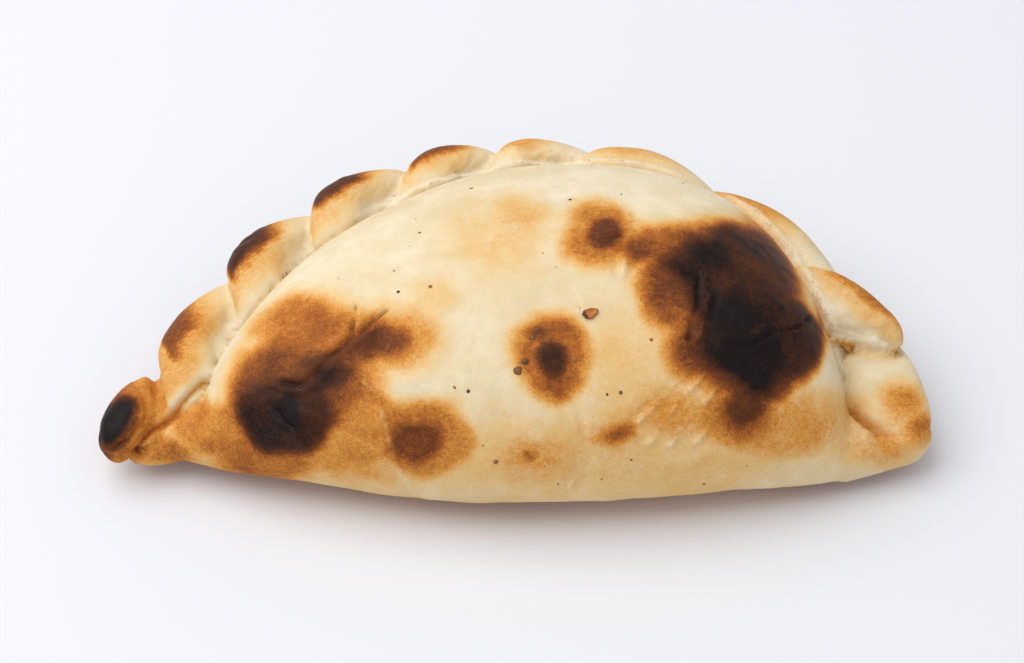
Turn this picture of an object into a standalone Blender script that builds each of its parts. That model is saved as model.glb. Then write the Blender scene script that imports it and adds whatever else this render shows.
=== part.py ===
"""A baked empanada: a half-moon of dough over its filling, closed along the back by a twisted rope crimp.

Frame: X runs along the half-moon from tip to tip, Y from the folded front towards the crimp, Z up.
The origin is the middle of the finished pasty's box, on the surface it rests on.
All sizes below are millimetres; the pasty is drawn about the point where its filling was heaped.
"""

import math

import bmesh
import bpy
import numpy as np
from mathutils import Matrix

MM = 0.001

# The filled body, seen from above: a superellipse behind the filling, a shallow belly before it
HEAP_X, HEAP_Y = 8.0, -24.0
BACK_REACH = 63.0
LEFT_REACH, LEFT_POWER = 65.5, 1.7  # a sloping shoulder
RIGHT_REACH, RIGHT_POWER = 50.5, 2.5  # a square shoulder
FRONT_Y = -36.0
LEFT_TIP, RIGHT_TIP = -70.0, 74.5
LEFT_TIP_Y, RIGHT_TIP_Y = -20.0, -21.5  # where the front edge ends at each tip
LEFT_DRAW, RIGHT_DRAW = 1.65, 2.2  # how late the front edge draws back to the tip
TIP_DEPTH = 7.0  # the wedge of dough at a tip, front to back
WEDGE_DEPTH = 15.0  # and where it leaves the body
WEDGE_START = 0.76  # share of the way to a tip
ROUND_START = 0.95

# The body from the side
DOME_HEIGHT = 38.5
WAIST_HEIGHT, TIP_WAIST_HEIGHT = 12.0, 7.5
WAIST_FALL_START, WAIST_FALL_END = 0.5, 0.75  # shares of the way to a tip
WEDGE_TOP, TIP_TOP = 14.0, 11.0
LEFT_LIFT, LEFT_LIFT_START = 7.0, 0.28  # how far each tip curls off the surface, and from where
RIGHT_LIFT, RIGHT_LIFT_START = 3.0, 0.5
FLAT_BASE_SINK = 1.4  # the round underside is cut flat this far above its lowest point
BODY_STATIONS = 56
SECTION_POINTS = 30

# The rope crimp: points of its middle line, then the folds from the left tip round to the right
ROPE_ROUTE = (
    (-66.5, -21.0, 8.5), (-60.8, -13.5, 10.0), (-54.5, -2.5, 12.0), (-44.5, 12.0, 15.0),
    (-27.5, 28.5, 16.5), (-9.0, 37.5, 17.0), (8.5, 39.5, 17.0), (26.0, 35.0, 17.0),
    (44.0, 21.5, 16.5), (59.2, 4.4, 15.3), (69.4, -4.8, 13.3),
)
FOLD_LENGTHS = (24.0, 22.0, 22.0, 20.0, 16.0, 23.0, 28.5, 30.0)
FOLD_STARTS = tuple(range(len(FOLD_LENGTHS) + 1))
CREST_AT_STARTS = (3.0, 8.8, 9.6, 8.6, 7.8, 7.2, 7.6, 7.6, 4.8)  # radius at the crest of a fold
DEPTH_AT_STARTS = (1.2, 4.4, 5.4, 4.8, 4.2, 3.6, 4.0, 3.4, 2.0)  # crest to groove
FIRST_SKEW, LAST_SKEW = 0.58, 0.85  # under 1 puts the crest near the fold's leading edge
FIRST_TURN, LAST_TURN = 0.72, 0.45  # share of a fold that a groove travels over the rope's top
ROPE_FLATNESS = 0.9
FOLD_SAMPLES = 9
ROPE_SIDES = 16

# The bead that the crimp curls into at the left tip
KNOB_CENTRE = (-67.3, -17.2, 8.5)
KNOB_SIZE = (4.8, 9.3, 5.6)  # half sizes
KNOB_TURN, KNOB_TILT = math.radians(-22.0), 0.0
KNOB_POWER = 2.0

# The body's own pointed end, which lies under the knob
HEEL_CENTRE = (-63.8, -20.3, 6.0)
HEEL_SIZE = (8.5, 4.2, 3.4)
HEEL_TURN, HEEL_TILT = 0.0, 0.0
HEEL_POWER = 2.0

# The last fold, pressed flat at the right tip
FLAP_CENTRE = (64.3, -9.5, 7.6)
FLAP_SIZE = (8.8, 14.0, 6.2)
FLAP_TURN, FLAP_TILT = math.radians(14.0), math.radians(10.0)
FLAP_POWER = 2.6

PILLOW_STEPS = 9

CRUST_COLOUR = (0.71, 0.50, 0.25, 1.0)


def clear_scene():
    for obj in list(bpy.data.objects):
        bpy.data.objects.remove(obj, do_unlink=True)


def smooth(t):
    """A step from 0 to 1 with level ends."""
    t = min(max(t, 0.0), 1.0)
    return t * t * (3.0 - 2.0 * t)


def mix(a, b, t):
    return a + (b - a) * t


def blend_max(a, b, width):
    """The larger of two lengths, with the corner between them rounded."""
    gap = (a - b) / width
    return b + width * (gap + math.sqrt(gap * gap + 1.0)) / 2.0


def signed_power(value, power):
    return math.copysign(abs(value) ** power, value)


def superellipse(x, left, left_power, right, right_power):
    """A superellipse of unit height at x, with its own reach and power on each side of the heap."""
    reach, power = (left, left_power) if x < HEAP_X else (right, right_power)
    share = min(1.0, abs(x - HEAP_X) / reach)
    return (1.0 - share**power) ** (1.0 / power)


def towards_tip(x):
    """0 in the middle and 1 at either tip."""
    return abs(x / (LEFT_TIP if x < 0 else RIGHT_TIP))


def front_edge(x):
    tip_y, draw = (LEFT_TIP_Y, LEFT_DRAW) if x < 0 else (RIGHT_TIP_Y, RIGHT_DRAW)
    return mix(FRONT_Y, tip_y, towards_tip(x) ** draw)


def tip_lift(x):
    height, start = (LEFT_LIFT, LEFT_LIFT_START) if x < 0 else (RIGHT_LIFT, RIGHT_LIFT_START)
    return height * max((towards_tip(x) - start) / (1.0 - start), 0.0)


def wedge(x):
    """0 where the wedge of dough leaves the body and 1 at the tip."""
    return min(max((towards_tip(x) - WEDGE_START) / (1.0 - WEDGE_START), 0.0), 1.0)


def back_edge(x):
    body = HEAP_Y + BACK_REACH * superellipse(x, LEFT_REACH, LEFT_POWER, RIGHT_REACH, RIGHT_POWER)
    return blend_max(body, front_edge(x) + mix(WEDGE_DEPTH, TIP_DEPTH, wedge(x)), 2.0)


def dome_top(x):
    rise = superellipse(x, LEFT_REACH - 1.0, 2.0, RIGHT_REACH, 2.6)
    return blend_max(DOME_HEIGHT * rise**0.8, mix(WEDGE_TOP, TIP_TOP, wedge(x)), 1.5)


def body_section(x):
    """The ring of points round the body at x: a lens that bulges to the front and is cut flat below."""
    front, back, top = front_edge(x), back_edge(x), dome_top(x)
    lift = tip_lift(x)
    fall = smooth((towards_tip(x) - WAIST_FALL_START) / (WAIST_FALL_END - WAIST_FALL_START))
    waist = min(mix(WAIST_HEIGHT, TIP_WAIST_HEIGHT, fall), mix(lift, top, 0.5))
    middle = mix(front, back, 0.46)
    near_tip = min(max((towards_tip(x) - ROUND_START) / (1.0 - ROUND_START), 0.0), 0.97)
    shrink = math.sqrt(1.0 - near_tip**2)
    ring = []
    for step in range(SECTION_POINTS):
        angle = 2.0 * math.pi * step / SECTION_POINTS
        across, up = math.cos(angle), math.sin(angle)
        depth = (back - middle) if across > 0 else (middle - front)
        height = (top - waist) if up > 0 else (waist - lift + FLAT_BASE_SINK)
        if up > 0:
            power = 1.9 if across > 0 else 2.1
        else:
            power = 1.9 if across > 0 else 2.5
        y = middle + depth * signed_power(across, 2.0 / power) * shrink
        z = max(waist + height * signed_power(up, 2.0 / power), lift)
        ring.append((x, y, waist + (z - waist) * shrink))
    return ring


def body_stations():
    """Places along X, closer together towards the tips."""
    turns = np.linspace(-1.0, 1.0, BODY_STATIONS)
    share = 0.5 * np.sin(turns * math.pi / 2) + 0.5 * turns
    return np.where(share < 0, -LEFT_TIP * share, RIGHT_TIP * share)


def body_mesh():
    """The body as rings of points along X, bridged into quads and closed at the tips."""
    bm = bmesh.new()
    rings = []
    for x in body_stations():
        rings.append([bm.verts.new(point) for point in body_section(x)])
    for near, far in zip(rings, rings[1:]):
        for i in range(SECTION_POINTS):
            j = (i + 1) % SECTION_POINTS
            bm.faces.new((near[i], near[j], far[j], far[i]))
    bm.faces.new(rings[0])
    bm.faces.new(reversed(rings[-1]))
    return bm


def rope_path(steps=60):
    """A smooth curve through the rope's route, and the distance run at each of its points."""
    route = np.array(ROPE_ROUTE)
    route = np.vstack([2 * route[0] - route[1], route, 2 * route[-1] - route[-2]])
    points = []
    for a, b, c, d in zip(route, route[1:], route[2:], route[3:]):
        for t in np.arange(steps) / steps:
            bend = (c - a) * t + (2 * a - 5 * b + 4 * c - d) * t**2 + (3 * b - a - 3 * c + d) * t**3
            points.append(b + 0.5 * bend)
    points.append(route[-2])
    points = np.array(points)
    run = np.concatenate([[0.0], np.cumsum(np.linalg.norm(np.diff(points, axis=0), axis=1))])
    return points, run


def rope_frame(points, run, at):
    """Position, outward and upward directions at a distance along the rope."""
    place, ahead, behind = (
        np.array([np.interp(at + step, run, points[:, k]) for k in range(3)]) for step in (0.0, 1.0, -1.0)
    )
    tangent = (ahead - behind) / np.linalg.norm(ahead - behind)
    outward = np.cross((0.0, 0.0, 1.0), tangent)
    outward = outward / np.linalg.norm(outward)
    return place, outward, np.cross(tangent, outward)


def groove_travel(angle, phase):
    """How many folds a groove has moved on as it goes over the top of the rope and back beneath."""
    top = mix(FIRST_TURN, LAST_TURN, min(max(phase / len(FOLD_LENGTHS), 0.0), 1.0))
    half_turns = angle / math.pi
    return top * half_turns if half_turns <= 1.0 else top + (1.0 - top) * (half_turns - 1.0)


def fold_bulge(share, phase):
    """0 in the grooves and 1 at the crest of a fold: a steep leading edge and a long tail."""
    skew = mix(FIRST_SKEW, LAST_SKEW, phase / len(FOLD_LENGTHS))
    return math.sin(math.pi * share**skew) ** 0.75


def rope_point(phase, angle, starts, points, run):
    """A point of the rope's skin. phase counts folds; angle goes from the body over the top and beneath."""
    phase = min(max(phase, 0.0), float(len(FOLD_LENGTHS)))
    at = np.interp(phase, FOLD_STARTS, starts)
    place, outward, up = rope_frame(points, run, at)
    counted = phase - groove_travel(angle, phase)
    crest = np.interp(phase, FOLD_STARTS, CREST_AT_STARTS)
    depth = np.interp(phase, FOLD_STARTS, DEPTH_AT_STARTS)
    radius = crest - depth * (1.0 - fold_bulge(counted - math.floor(counted), phase))
    from_end = max(min(at, run[-1] - at), 0.0) / crest
    radius *= math.sqrt(1.0 - (1.0 - min(1.0, from_end)) ** 2)
    side = -math.cos(angle) * radius
    rise = math.sin(angle) * radius * ROPE_FLATNESS
    return place + outward * side + up * rise


def rope_mesh():
    """The rope as one spiral strip, so that every groove follows a row of edges."""
    points, run = rope_path()
    starts = np.concatenate([[0.0], np.cumsum(FOLD_LENGTHS)]) * run[-1] / sum(FOLD_LENGTHS)
    rows = (len(FOLD_LENGTHS) + 2) * FOLD_SAMPLES + 1
    bm = bmesh.new()
    grid = []
    for side in range(ROPE_SIDES + 1):
        angle = 2.0 * math.pi * side / ROPE_SIDES
        column = []
        for row in range(rows):
            phase = row / FOLD_SAMPLES - 1.0
            phase += groove_travel(angle, min(max(phase + 0.5, 0.0), len(FOLD_LENGTHS)))
            column.append(bm.verts.new(rope_point(phase, angle, starts, points, run)))
        grid.append(column)
    for this, other in zip(grid, grid[1:]):
        for row in range(rows - 1):
            bm.faces.new((this[row], this[row + 1], other[row + 1], other[row]))
    bmesh.ops.remove_doubles(bm, verts=bm.verts, dist=1e-3)
    return bm


def pillow_mesh(centre, half_sizes, turn, tilt, power):
    """A pillow of dough: a superellipsoid, turned about the upright and tilted back to front."""
    bm = bmesh.new()
    bmesh.ops.create_uvsphere(bm, u_segments=2 * PILLOW_STEPS, v_segments=PILLOW_STEPS, radius=1.0)
    for vert in bm.verts:
        size = sum(abs(c) ** power for c in vert.co) ** (1.0 / power)
        vert.co = [c / size * half for c, half in zip(vert.co, half_sizes)]
    turned = Matrix.Rotation(turn, 4, "Z") @ Matrix.Rotation(tilt, 4, "X")
    bmesh.ops.transform(bm, matrix=Matrix.Translation(centre) @ turned, verts=bm.verts)
    return bm


def object_from(bm, name):
    bmesh.ops.recalc_face_normals(bm, faces=bm.faces)
    mesh = bpy.data.meshes.new(name)
    bm.to_mesh(mesh)
    bm.free()
    obj = bpy.data.objects.new(name, mesh)
    bpy.context.scene.collection.objects.link(obj)
    return obj


def join(base, piece):
    """Joins a guide piece to the crust with a Boolean union."""
    piece.hide_render = True
    piece.display_type = "WIRE"
    union = base.modifiers.new("join_" + piece.name, "BOOLEAN")
    union.operation = "UNION"
    union.use_self = True
    union.object = piece


def stand_on_origin(objects):
    """Scales the drawing to metres, with the middle of its box over the origin and its base at zero."""
    corners = np.array([vert.co[:] for obj in objects for vert in obj.data.vertices])
    low, high = corners.min(axis=0), corners.max(axis=0)
    middle = (low + high) / 2.0
    place = Matrix.Scale(MM, 4) @ Matrix.Translation((-middle[0], -middle[1], -low[2]))
    for obj in objects:
        obj.data.transform(place)


def baked_dough():
    material = bpy.data.materials.new("baked_dough")
    material.use_nodes = True
    shader = material.node_tree.nodes["Principled BSDF"]
    shader.inputs["Base Color"].default_value = CRUST_COLOUR
    shader.inputs["Roughness"].default_value = 0.65
    return material


def build():
    clear_scene()
    crust = object_from(body_mesh(), "crust")
    rope = object_from(rope_mesh(), "rope_crimp")
    knob = object_from(pillow_mesh(KNOB_CENTRE, KNOB_SIZE, KNOB_TURN, KNOB_TILT, KNOB_POWER), "end_knob")
    heel = object_from(pillow_mesh(HEEL_CENTRE, HEEL_SIZE, HEEL_TURN, HEEL_TILT, HEEL_POWER), "end_heel")
    flap = object_from(pillow_mesh(FLAP_CENTRE, FLAP_SIZE, FLAP_TURN, FLAP_TILT, FLAP_POWER), "end_flap")
    pieces = [rope, knob, heel, flap]
    stand_on_origin([crust] + pieces)
    for piece in pieces:
        join(crust, piece)
    crust.data.materials.append(baked_dough())
    crust.data.shade_smooth()


build()
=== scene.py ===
"""The looks of a baked empanada: a domed turnover with a twisted rope crimp and scorched patches.

Laid out as a Blender add-on and run as a script. Sizes in the code are millimetres, drawn about the
point where the filling was heaped: X from tip to tip, Y from the folded front to the crimp, Z up.
The finished pieces are moved into the frame's own place and turned into metres by seat_in_frame().
"""

import itertools
import math

import bmesh
import bpy
import numpy as np
from bpy.props import FloatProperty, FloatVectorProperty, IntProperty, PointerProperty
from mathutils import Matrix, Vector
from mathutils.bvhtree import BVHTree
from mathutils.kdtree import KDTree


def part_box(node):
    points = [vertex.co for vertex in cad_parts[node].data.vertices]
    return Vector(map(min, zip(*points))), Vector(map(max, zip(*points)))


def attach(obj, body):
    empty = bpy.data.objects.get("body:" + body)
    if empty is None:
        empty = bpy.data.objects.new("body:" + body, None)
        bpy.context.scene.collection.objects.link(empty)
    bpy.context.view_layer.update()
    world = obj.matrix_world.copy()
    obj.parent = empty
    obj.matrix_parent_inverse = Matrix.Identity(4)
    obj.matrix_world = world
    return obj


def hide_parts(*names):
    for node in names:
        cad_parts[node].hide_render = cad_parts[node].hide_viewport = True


bl_info = {
    "name": "Baked Empanada",
    "version": (1, 0, 0),
    "blender": (4, 5, 0),
    "location": "3D View > Sidebar > Empanada",
    "description": "Makes a scorched, rope-crimped empanada piece by piece, and a plain stage for it",
    "category": "Add Mesh",
}

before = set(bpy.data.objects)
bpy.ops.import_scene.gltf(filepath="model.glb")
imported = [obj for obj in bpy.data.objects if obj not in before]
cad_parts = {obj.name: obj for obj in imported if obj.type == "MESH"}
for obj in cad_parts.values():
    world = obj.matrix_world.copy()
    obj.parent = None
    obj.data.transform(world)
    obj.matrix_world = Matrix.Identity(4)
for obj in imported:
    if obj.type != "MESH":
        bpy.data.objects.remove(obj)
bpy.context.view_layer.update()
CRUST_LOW, CRUST_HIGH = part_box("crust")
MM = 0.001


# ---------------------------------------------------------------- helpers


def linear(hex_colour):
    """An sRGB hex colour as linear red, green, blue and alpha."""
    channels = [int(hex_colour[i:i + 2], 16) / 255.0 for i in (1, 3, 5)]
    return tuple(c / 12.92 if c <= 0.04045 else ((c + 0.055) / 1.055) ** 2.4 for c in channels) + (1.0,)


def add_node(tree, kind, links=None, **settings):
    """Adds a node with its settings; links feeds its inputs with nodes, sockets or plain values."""
    node = tree.nodes.new(kind)
    for name, value in settings.items():
        setattr(node, name, value)
    for key, value in (links or {}).items():
        if isinstance(value, bpy.types.Node):
            value = value.outputs[0]
        if isinstance(value, bpy.types.NodeSocket):
            tree.links.new(value, node.inputs[key])
        else:
            node.inputs[key].default_value = value
    return node


def mix(a, b, t):
    return a + (b - a) * t


def smooth(t):
    """A step from 0 to 1 with level ends."""
    t = np.clip(t, 0.0, 1.0)
    return t * t * (3.0 - 2.0 * t)


def bell(distance, width):
    """A bell curve: 1 at no distance, and nearly 0 from twice the width on."""
    return np.exp(-((distance / width) ** 2))


def blend_max(a, b, width):
    """The larger of two lengths, with the corner between them rounded."""
    gap = (a - b) / width
    return b + width * (gap + math.sqrt(gap * gap + 1.0)) / 2.0


def signed_power(value, power):
    return np.sign(value) * np.abs(value) ** power


def soft_noise(points, grain, seed):
    """Smooth noise between -1 and 1 with bumps of the given size, the same each run."""
    cells = points / grain + 31.7 * seed
    corner = np.floor(cells).astype(np.int64)
    part = cells - corner
    ease = part * part * (3.0 - 2.0 * part)
    total = np.zeros(len(points))
    for step in itertools.product((0, 1), repeat=3):
        key = (corner + step) @ np.array([374761393, 668265263, 2147483647]) + 1274126177 * seed
        key = (key ^ (key >> 13)) * 1103515245
        value = ((key ^ (key >> 16)) & 0xFFFF) / 32767.5 - 1.0
        weight = np.prod(np.where(step, ease, 1.0 - ease), axis=1)
        total += weight * value
    return total


def layered_noise(points, grain, seed, layers=3):
    return sum(soft_noise(points, grain / 2**i, seed + i) / 2**i for i in range(layers))


def mesh_object(name, mesh):
    obj = bpy.data.objects.new(name, mesh)
    bpy.context.scene.collection.objects.link(obj)
    return obj


def object_from(bm, name):
    bmesh.ops.recalc_face_normals(bm, faces=bm.faces)
    mesh = bpy.data.meshes.new(name)
    bm.to_mesh(mesh)
    bm.free()
    return mesh_object(name, mesh)


def evaluated_mesh(obj):
    """A plain mesh of the object as its modifiers leave it."""
    graph = bpy.context.evaluated_depsgraph_get()
    return bpy.data.meshes.new_from_object(obj.evaluated_get(graph), depsgraph=graph)


def points_of(mesh):
    flat = np.empty(len(mesh.vertices) * 3)
    mesh.vertices.foreach_get("co", flat)
    return flat.reshape(-1, 3)


def normals_of(mesh):
    flat = np.empty(len(mesh.vertices) * 3)
    mesh.vertex_normals.foreach_get("vector", flat)
    return flat.reshape(-1, 3)


def faces_tree(obj):
    """A search tree over an object's faces, for distances and rays."""
    mesh = obj.data
    return BVHTree.FromPolygons([v.co for v in mesh.vertices], [p.vertices[:] for p in mesh.polygons])


def float_attribute(mesh, name, values):
    layer = mesh.attributes.new(name, "FLOAT", "POINT")
    layer.data.foreach_set("value", np.ascontiguousarray(values, dtype=np.float32))


def discard(*objects):
    for obj in objects:
        bpy.data.objects.remove(obj, do_unlink=True)


# ---------------------------------------------------------------- sizes and colours to change


class BodySizes(bpy.types.PropertyGroup):
    dome_height: FloatProperty(
        name="Dome height", description="Top of the filled body above the table",
        default=CRUST_HIGH[2] - CRUST_LOW[2], min=0.02, max=0.08, unit="LENGTH", subtype="DISTANCE")
    front_reach: FloatProperty(
        name="Front reach", description="From the middle of the drawing to the belly's furthest point",
        default=0.036, min=0.02, max=0.06, unit="LENGTH", subtype="DISTANCE")
    voxel: FloatProperty(
        name="Dough detail", description="Edge length of the faces that the joined dough is rebuilt with",
        default=0.00062, min=0.0004, max=0.003, unit="LENGTH", subtype="DISTANCE")
    relief: FloatProperty(
        name="Relief", description="Strength of the dents, blisters, creases and torn edges",
        default=1.0, min=0.0, max=2.0, subtype="FACTOR")


class CrimpSizes(bpy.types.PropertyGroup):
    crest_radius: FloatProperty(
        name="Crest radius", description="Radius of the rope at the thickest fold's crest",
        default=0.0096, min=0.003, max=0.02, unit="LENGTH", subtype="DISTANCE")
    groove_depth: FloatProperty(
        name="Groove depth", description="From the crest to the groove at the deepest fold",
        default=0.0056, min=0.0, max=0.01, unit="LENGTH", subtype="DISTANCE")
    flatness: FloatProperty(
        name="Flatness", description="Height of the rope over its width",
        default=0.9, min=0.4, max=1.2, subtype="FACTOR")


class BakeColours(bpy.types.PropertyGroup):
    cream: FloatVectorProperty(
        name="Cream", description="Dough that the oven left pale", size=4, subtype="COLOR",
        min=0.0, max=1.0, default=linear("#DFCBA2"))
    golden: FloatVectorProperty(
        name="Golden", description="The first blush round a scorched patch", size=4, subtype="COLOR",
        min=0.0, max=1.0, default=linear("#E2B977"))
    amber: FloatVectorProperty(
        name="Amber", description="Well baked dough", size=4, subtype="COLOR",
        min=0.0, max=1.0, default=linear("#D6923F"))
    rust: FloatVectorProperty(
        name="Rust", description="Dough on the edge of burning", size=4, subtype="COLOR",
        min=0.0, max=1.0, default=linear("#AA6021"))
    brown: FloatVectorProperty(
        name="Brown", description="Overbaked dough", size=4, subtype="COLOR",
        min=0.0, max=1.0, default=linear("#6C3817"))
    char: FloatVectorProperty(
        name="Char", description="Burnt dough", size=4, subtype="COLOR",
        min=0.0, max=1.0, default=linear("#170B08"))


class ToppingSizes(bpy.types.PropertyGroup):
    specks_per_area: FloatProperty(
        name="Specks", description="Burnt specks on each square metre of pale dough",
        default=5200.0, min=0.0, max=50000.0)
    speck_radius: FloatProperty(
        name="Speck radius", description="Radius of the largest scattered speck",
        default=0.00030, min=0.0001, max=0.002, unit="LENGTH", subtype="DISTANCE")
    seed: IntProperty(name="Seed", description="Another number scatters the specks afresh", default=11)
    flake_length: FloatProperty(
        name="Flake length", description="Length of the chilli flake",
        default=0.0027, min=0.001, max=0.01, unit="LENGTH", subtype="DISTANCE")


class StageSizes(bpy.types.PropertyGroup):
    elevation: FloatProperty(
        name="Camera elevation", description="Angle that the camera looks down at",
        default=math.radians(45.0), min=0.0, max=math.radians(90.0), unit="ROTATION", subtype="ANGLE")
    lens: FloatProperty(
        name="Lens", description="Focal length", default=85.0, min=20.0, max=300.0, unit="CAMERA")
    view_width: FloatProperty(
        name="View width", description="Width of what the camera sees at the empanada",
        default=0.1845, min=0.05, max=1.0, unit="LENGTH", subtype="DISTANCE")
    floor_colour: FloatVectorProperty(
        name="Floor", description="The plain table", size=4, subtype="COLOR",
        min=0.0, max=1.0, default=linear("#E4E5E7"))


SETTINGS = {
    "empanada_body": BodySizes,
    "empanada_crimp": CrimpSizes,
    "empanada_bake": BakeColours,
    "empanada_topping": ToppingSizes,
    "empanada_stage": StageSizes,
}


# ---------------------------------------------------------------- the filled body

HEAP_X, HEAP_Y = 8.0, -24.0
BACK_REACH = 63.0
LEFT_REACH, LEFT_POWER = 65.5, 1.7  # a sloping shoulder
RIGHT_REACH, RIGHT_POWER = 50.5, 2.5  # a square shoulder
LEFT_TIP, RIGHT_TIP = -70.0, 74.4
LEFT_TIP_Y, RIGHT_TIP_Y = -20.0, -22.3
LEFT_DRAW, RIGHT_DRAW = 1.65, 2.2
TIP_DEPTH, WEDGE_DEPTH = 7.0, 15.0
WEDGE_START, ROUND_START = 0.76, 0.95
WAIST_HEIGHT, TIP_WAIST_HEIGHT = 12.0, 7.5
WAIST_FALL_START, WAIST_FALL_END = 0.5, 0.75  # shares of the way to a tip
WEDGE_TOP, TIP_TOP = 13.0, 10.0
LEFT_LIFT, LEFT_LIFT_START = 7.0, 0.28
RIGHT_LIFT, RIGHT_LIFT_START = 4.0, 0.5
FLAT_BASE_SINK = 1.4
BODY_STATIONS, SECTION_POINTS = 200, 140


def superellipse(x, left, left_power, right, right_power):
    """A superellipse of unit height at x, with its own reach and power on each side of the heap."""
    reach, power = (left, left_power) if x < HEAP_X else (right, right_power)
    share = min(1.0, abs(x - HEAP_X) / reach)
    return (1.0 - share**power) ** (1.0 / power)


def towards_tip(x):
    return abs(x / (LEFT_TIP if x < 0 else RIGHT_TIP))


def front_edge(x, front_reach):
    tip_y, draw = (LEFT_TIP_Y, LEFT_DRAW) if x < 0 else (RIGHT_TIP_Y, RIGHT_DRAW)
    return mix(-front_reach, tip_y, towards_tip(x) ** draw)


def tip_lift(x):
    height, start = (LEFT_LIFT, LEFT_LIFT_START) if x < 0 else (RIGHT_LIFT, RIGHT_LIFT_START)
    return height * max((towards_tip(x) - start) / (1.0 - start), 0.0)


def wedge(x):
    """0 where the wedge of dough leaves the body and 1 at the tip."""
    return min(max((towards_tip(x) - WEDGE_START) / (1.0 - WEDGE_START), 0.0), 1.0)


def body_section(x, dome_height, front_reach):
    """The ring of points round the body at x: a lens that bulges to the front and is flat below."""
    front = front_edge(x, front_reach)
    body_back = HEAP_Y + BACK_REACH * superellipse(x, LEFT_REACH, LEFT_POWER, RIGHT_REACH, RIGHT_POWER)
    back = blend_max(body_back, front + mix(WEDGE_DEPTH, TIP_DEPTH, wedge(x)), 2.0)
    rise = superellipse(x, LEFT_REACH - 1.0, 2.0, RIGHT_REACH, 2.6)
    top = blend_max(dome_height * rise**0.8, mix(WEDGE_TOP, TIP_TOP, wedge(x)), 1.5)
    lift = tip_lift(x)
    fall = smooth((towards_tip(x) - WAIST_FALL_START) / (WAIST_FALL_END - WAIST_FALL_START))
    waist = min(mix(WAIST_HEIGHT, TIP_WAIST_HEIGHT, fall), mix(lift, top, 0.5))
    middle = mix(front, back, 0.46)
    near_tip = min(max((towards_tip(x) - ROUND_START) / (1.0 - ROUND_START), 0.0), 0.99)
    shrink = math.sqrt(1.0 - near_tip**2)
    angles = 2.0 * math.pi * np.arange(SECTION_POINTS) / SECTION_POINTS
    across, up = np.cos(angles), np.sin(angles)
    depth = np.where(across > 0, back - middle, middle - front)
    height = np.where(up > 0, top - waist, waist - lift + FLAT_BASE_SINK)
    power = np.where(up > 0, np.where(across > 0, 1.9, 2.1), np.where(across > 0, 1.9, 2.5))
    y = middle + depth * signed_power(across, 2.0 / power) * shrink
    z = np.maximum(waist + height * signed_power(up, 2.0 / power), lift)
    return np.stack([np.full_like(y, x), y, waist + (z - waist) * shrink], axis=1)


def filled_body(sizes):
    """The body as rings of points along X, bridged into quads and closed at the tips."""
    turns = np.linspace(-1.0, 1.0, BODY_STATIONS)
    share = 0.5 * np.sin(turns * math.pi / 2) + 0.5 * turns
    bm = bmesh.new()
    rings = []
    for x in np.where(share < 0, -LEFT_TIP * share, RIGHT_TIP * share):
        ring = body_section(x, sizes.dome_height / MM, sizes.front_reach / MM)
        rings.append([bm.verts.new(point) for point in ring])
    for near, far in zip(rings, rings[1:]):
        for i in range(SECTION_POINTS):
            j = (i + 1) % SECTION_POINTS
            bm.faces.new((near[i], near[j], far[j], far[i]))
    bm.faces.new(rings[0])
    bm.faces.new(reversed(rings[-1]))
    return object_from(bm, "filled_body")


# ---------------------------------------------------------------- the rope crimp

ROPE_ROUTE = (
    (-66.5, -21.0, 8.5), (-60.8, -13.5, 10.0), (-54.5, -2.5, 12.0), (-44.5, 12.0, 15.0),
    (-27.5, 28.5, 16.5), (-9.0, 37.5, 17.0), (8.5, 39.5, 17.0), (26.0, 35.0, 17.0),
    (44.0, 21.5, 16.5), (59.2, 4.4, 15.3), (69.4, -4.8, 13.3),
)
FOLD_LENGTHS = (24.0, 22.0, 22.0, 20.0, 16.0, 23.0, 28.5, 30.0)
FOLDS = len(FOLD_LENGTHS)
CREST_AT_STARTS = (3.0, 8.8, 9.6, 8.6, 7.8, 7.2, 7.6, 7.6, 4.8)
DEPTH_AT_STARTS = (1.2, 4.8, 5.6, 5.0, 4.4, 3.8, 4.2, 3.4, 2.0)
FIRST_SKEW, LAST_SKEW = 0.58, 0.85  # under 1 puts the crest near the fold's leading edge
FIRST_TURN, LAST_TURN = 0.72, 0.45  # share of a fold that a groove travels over the rope's top
FOLD_SAMPLES, ROPE_SIDES = 44, 72


def shape_curve(node, values):
    """Shapes a Float Curve through values spread evenly from 0 to 1, as shares of the largest."""
    points = node.mapping.curves[0].points
    while len(points) < len(values):
        points.new(0.5, 0.5)
    for i, value in enumerate(values):
        points[i].location = (i / (len(values) - 1), value / max(values))
        points[i].handle_type = "AUTO_CLAMPED"
    node.mapping.update()
    return node


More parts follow.
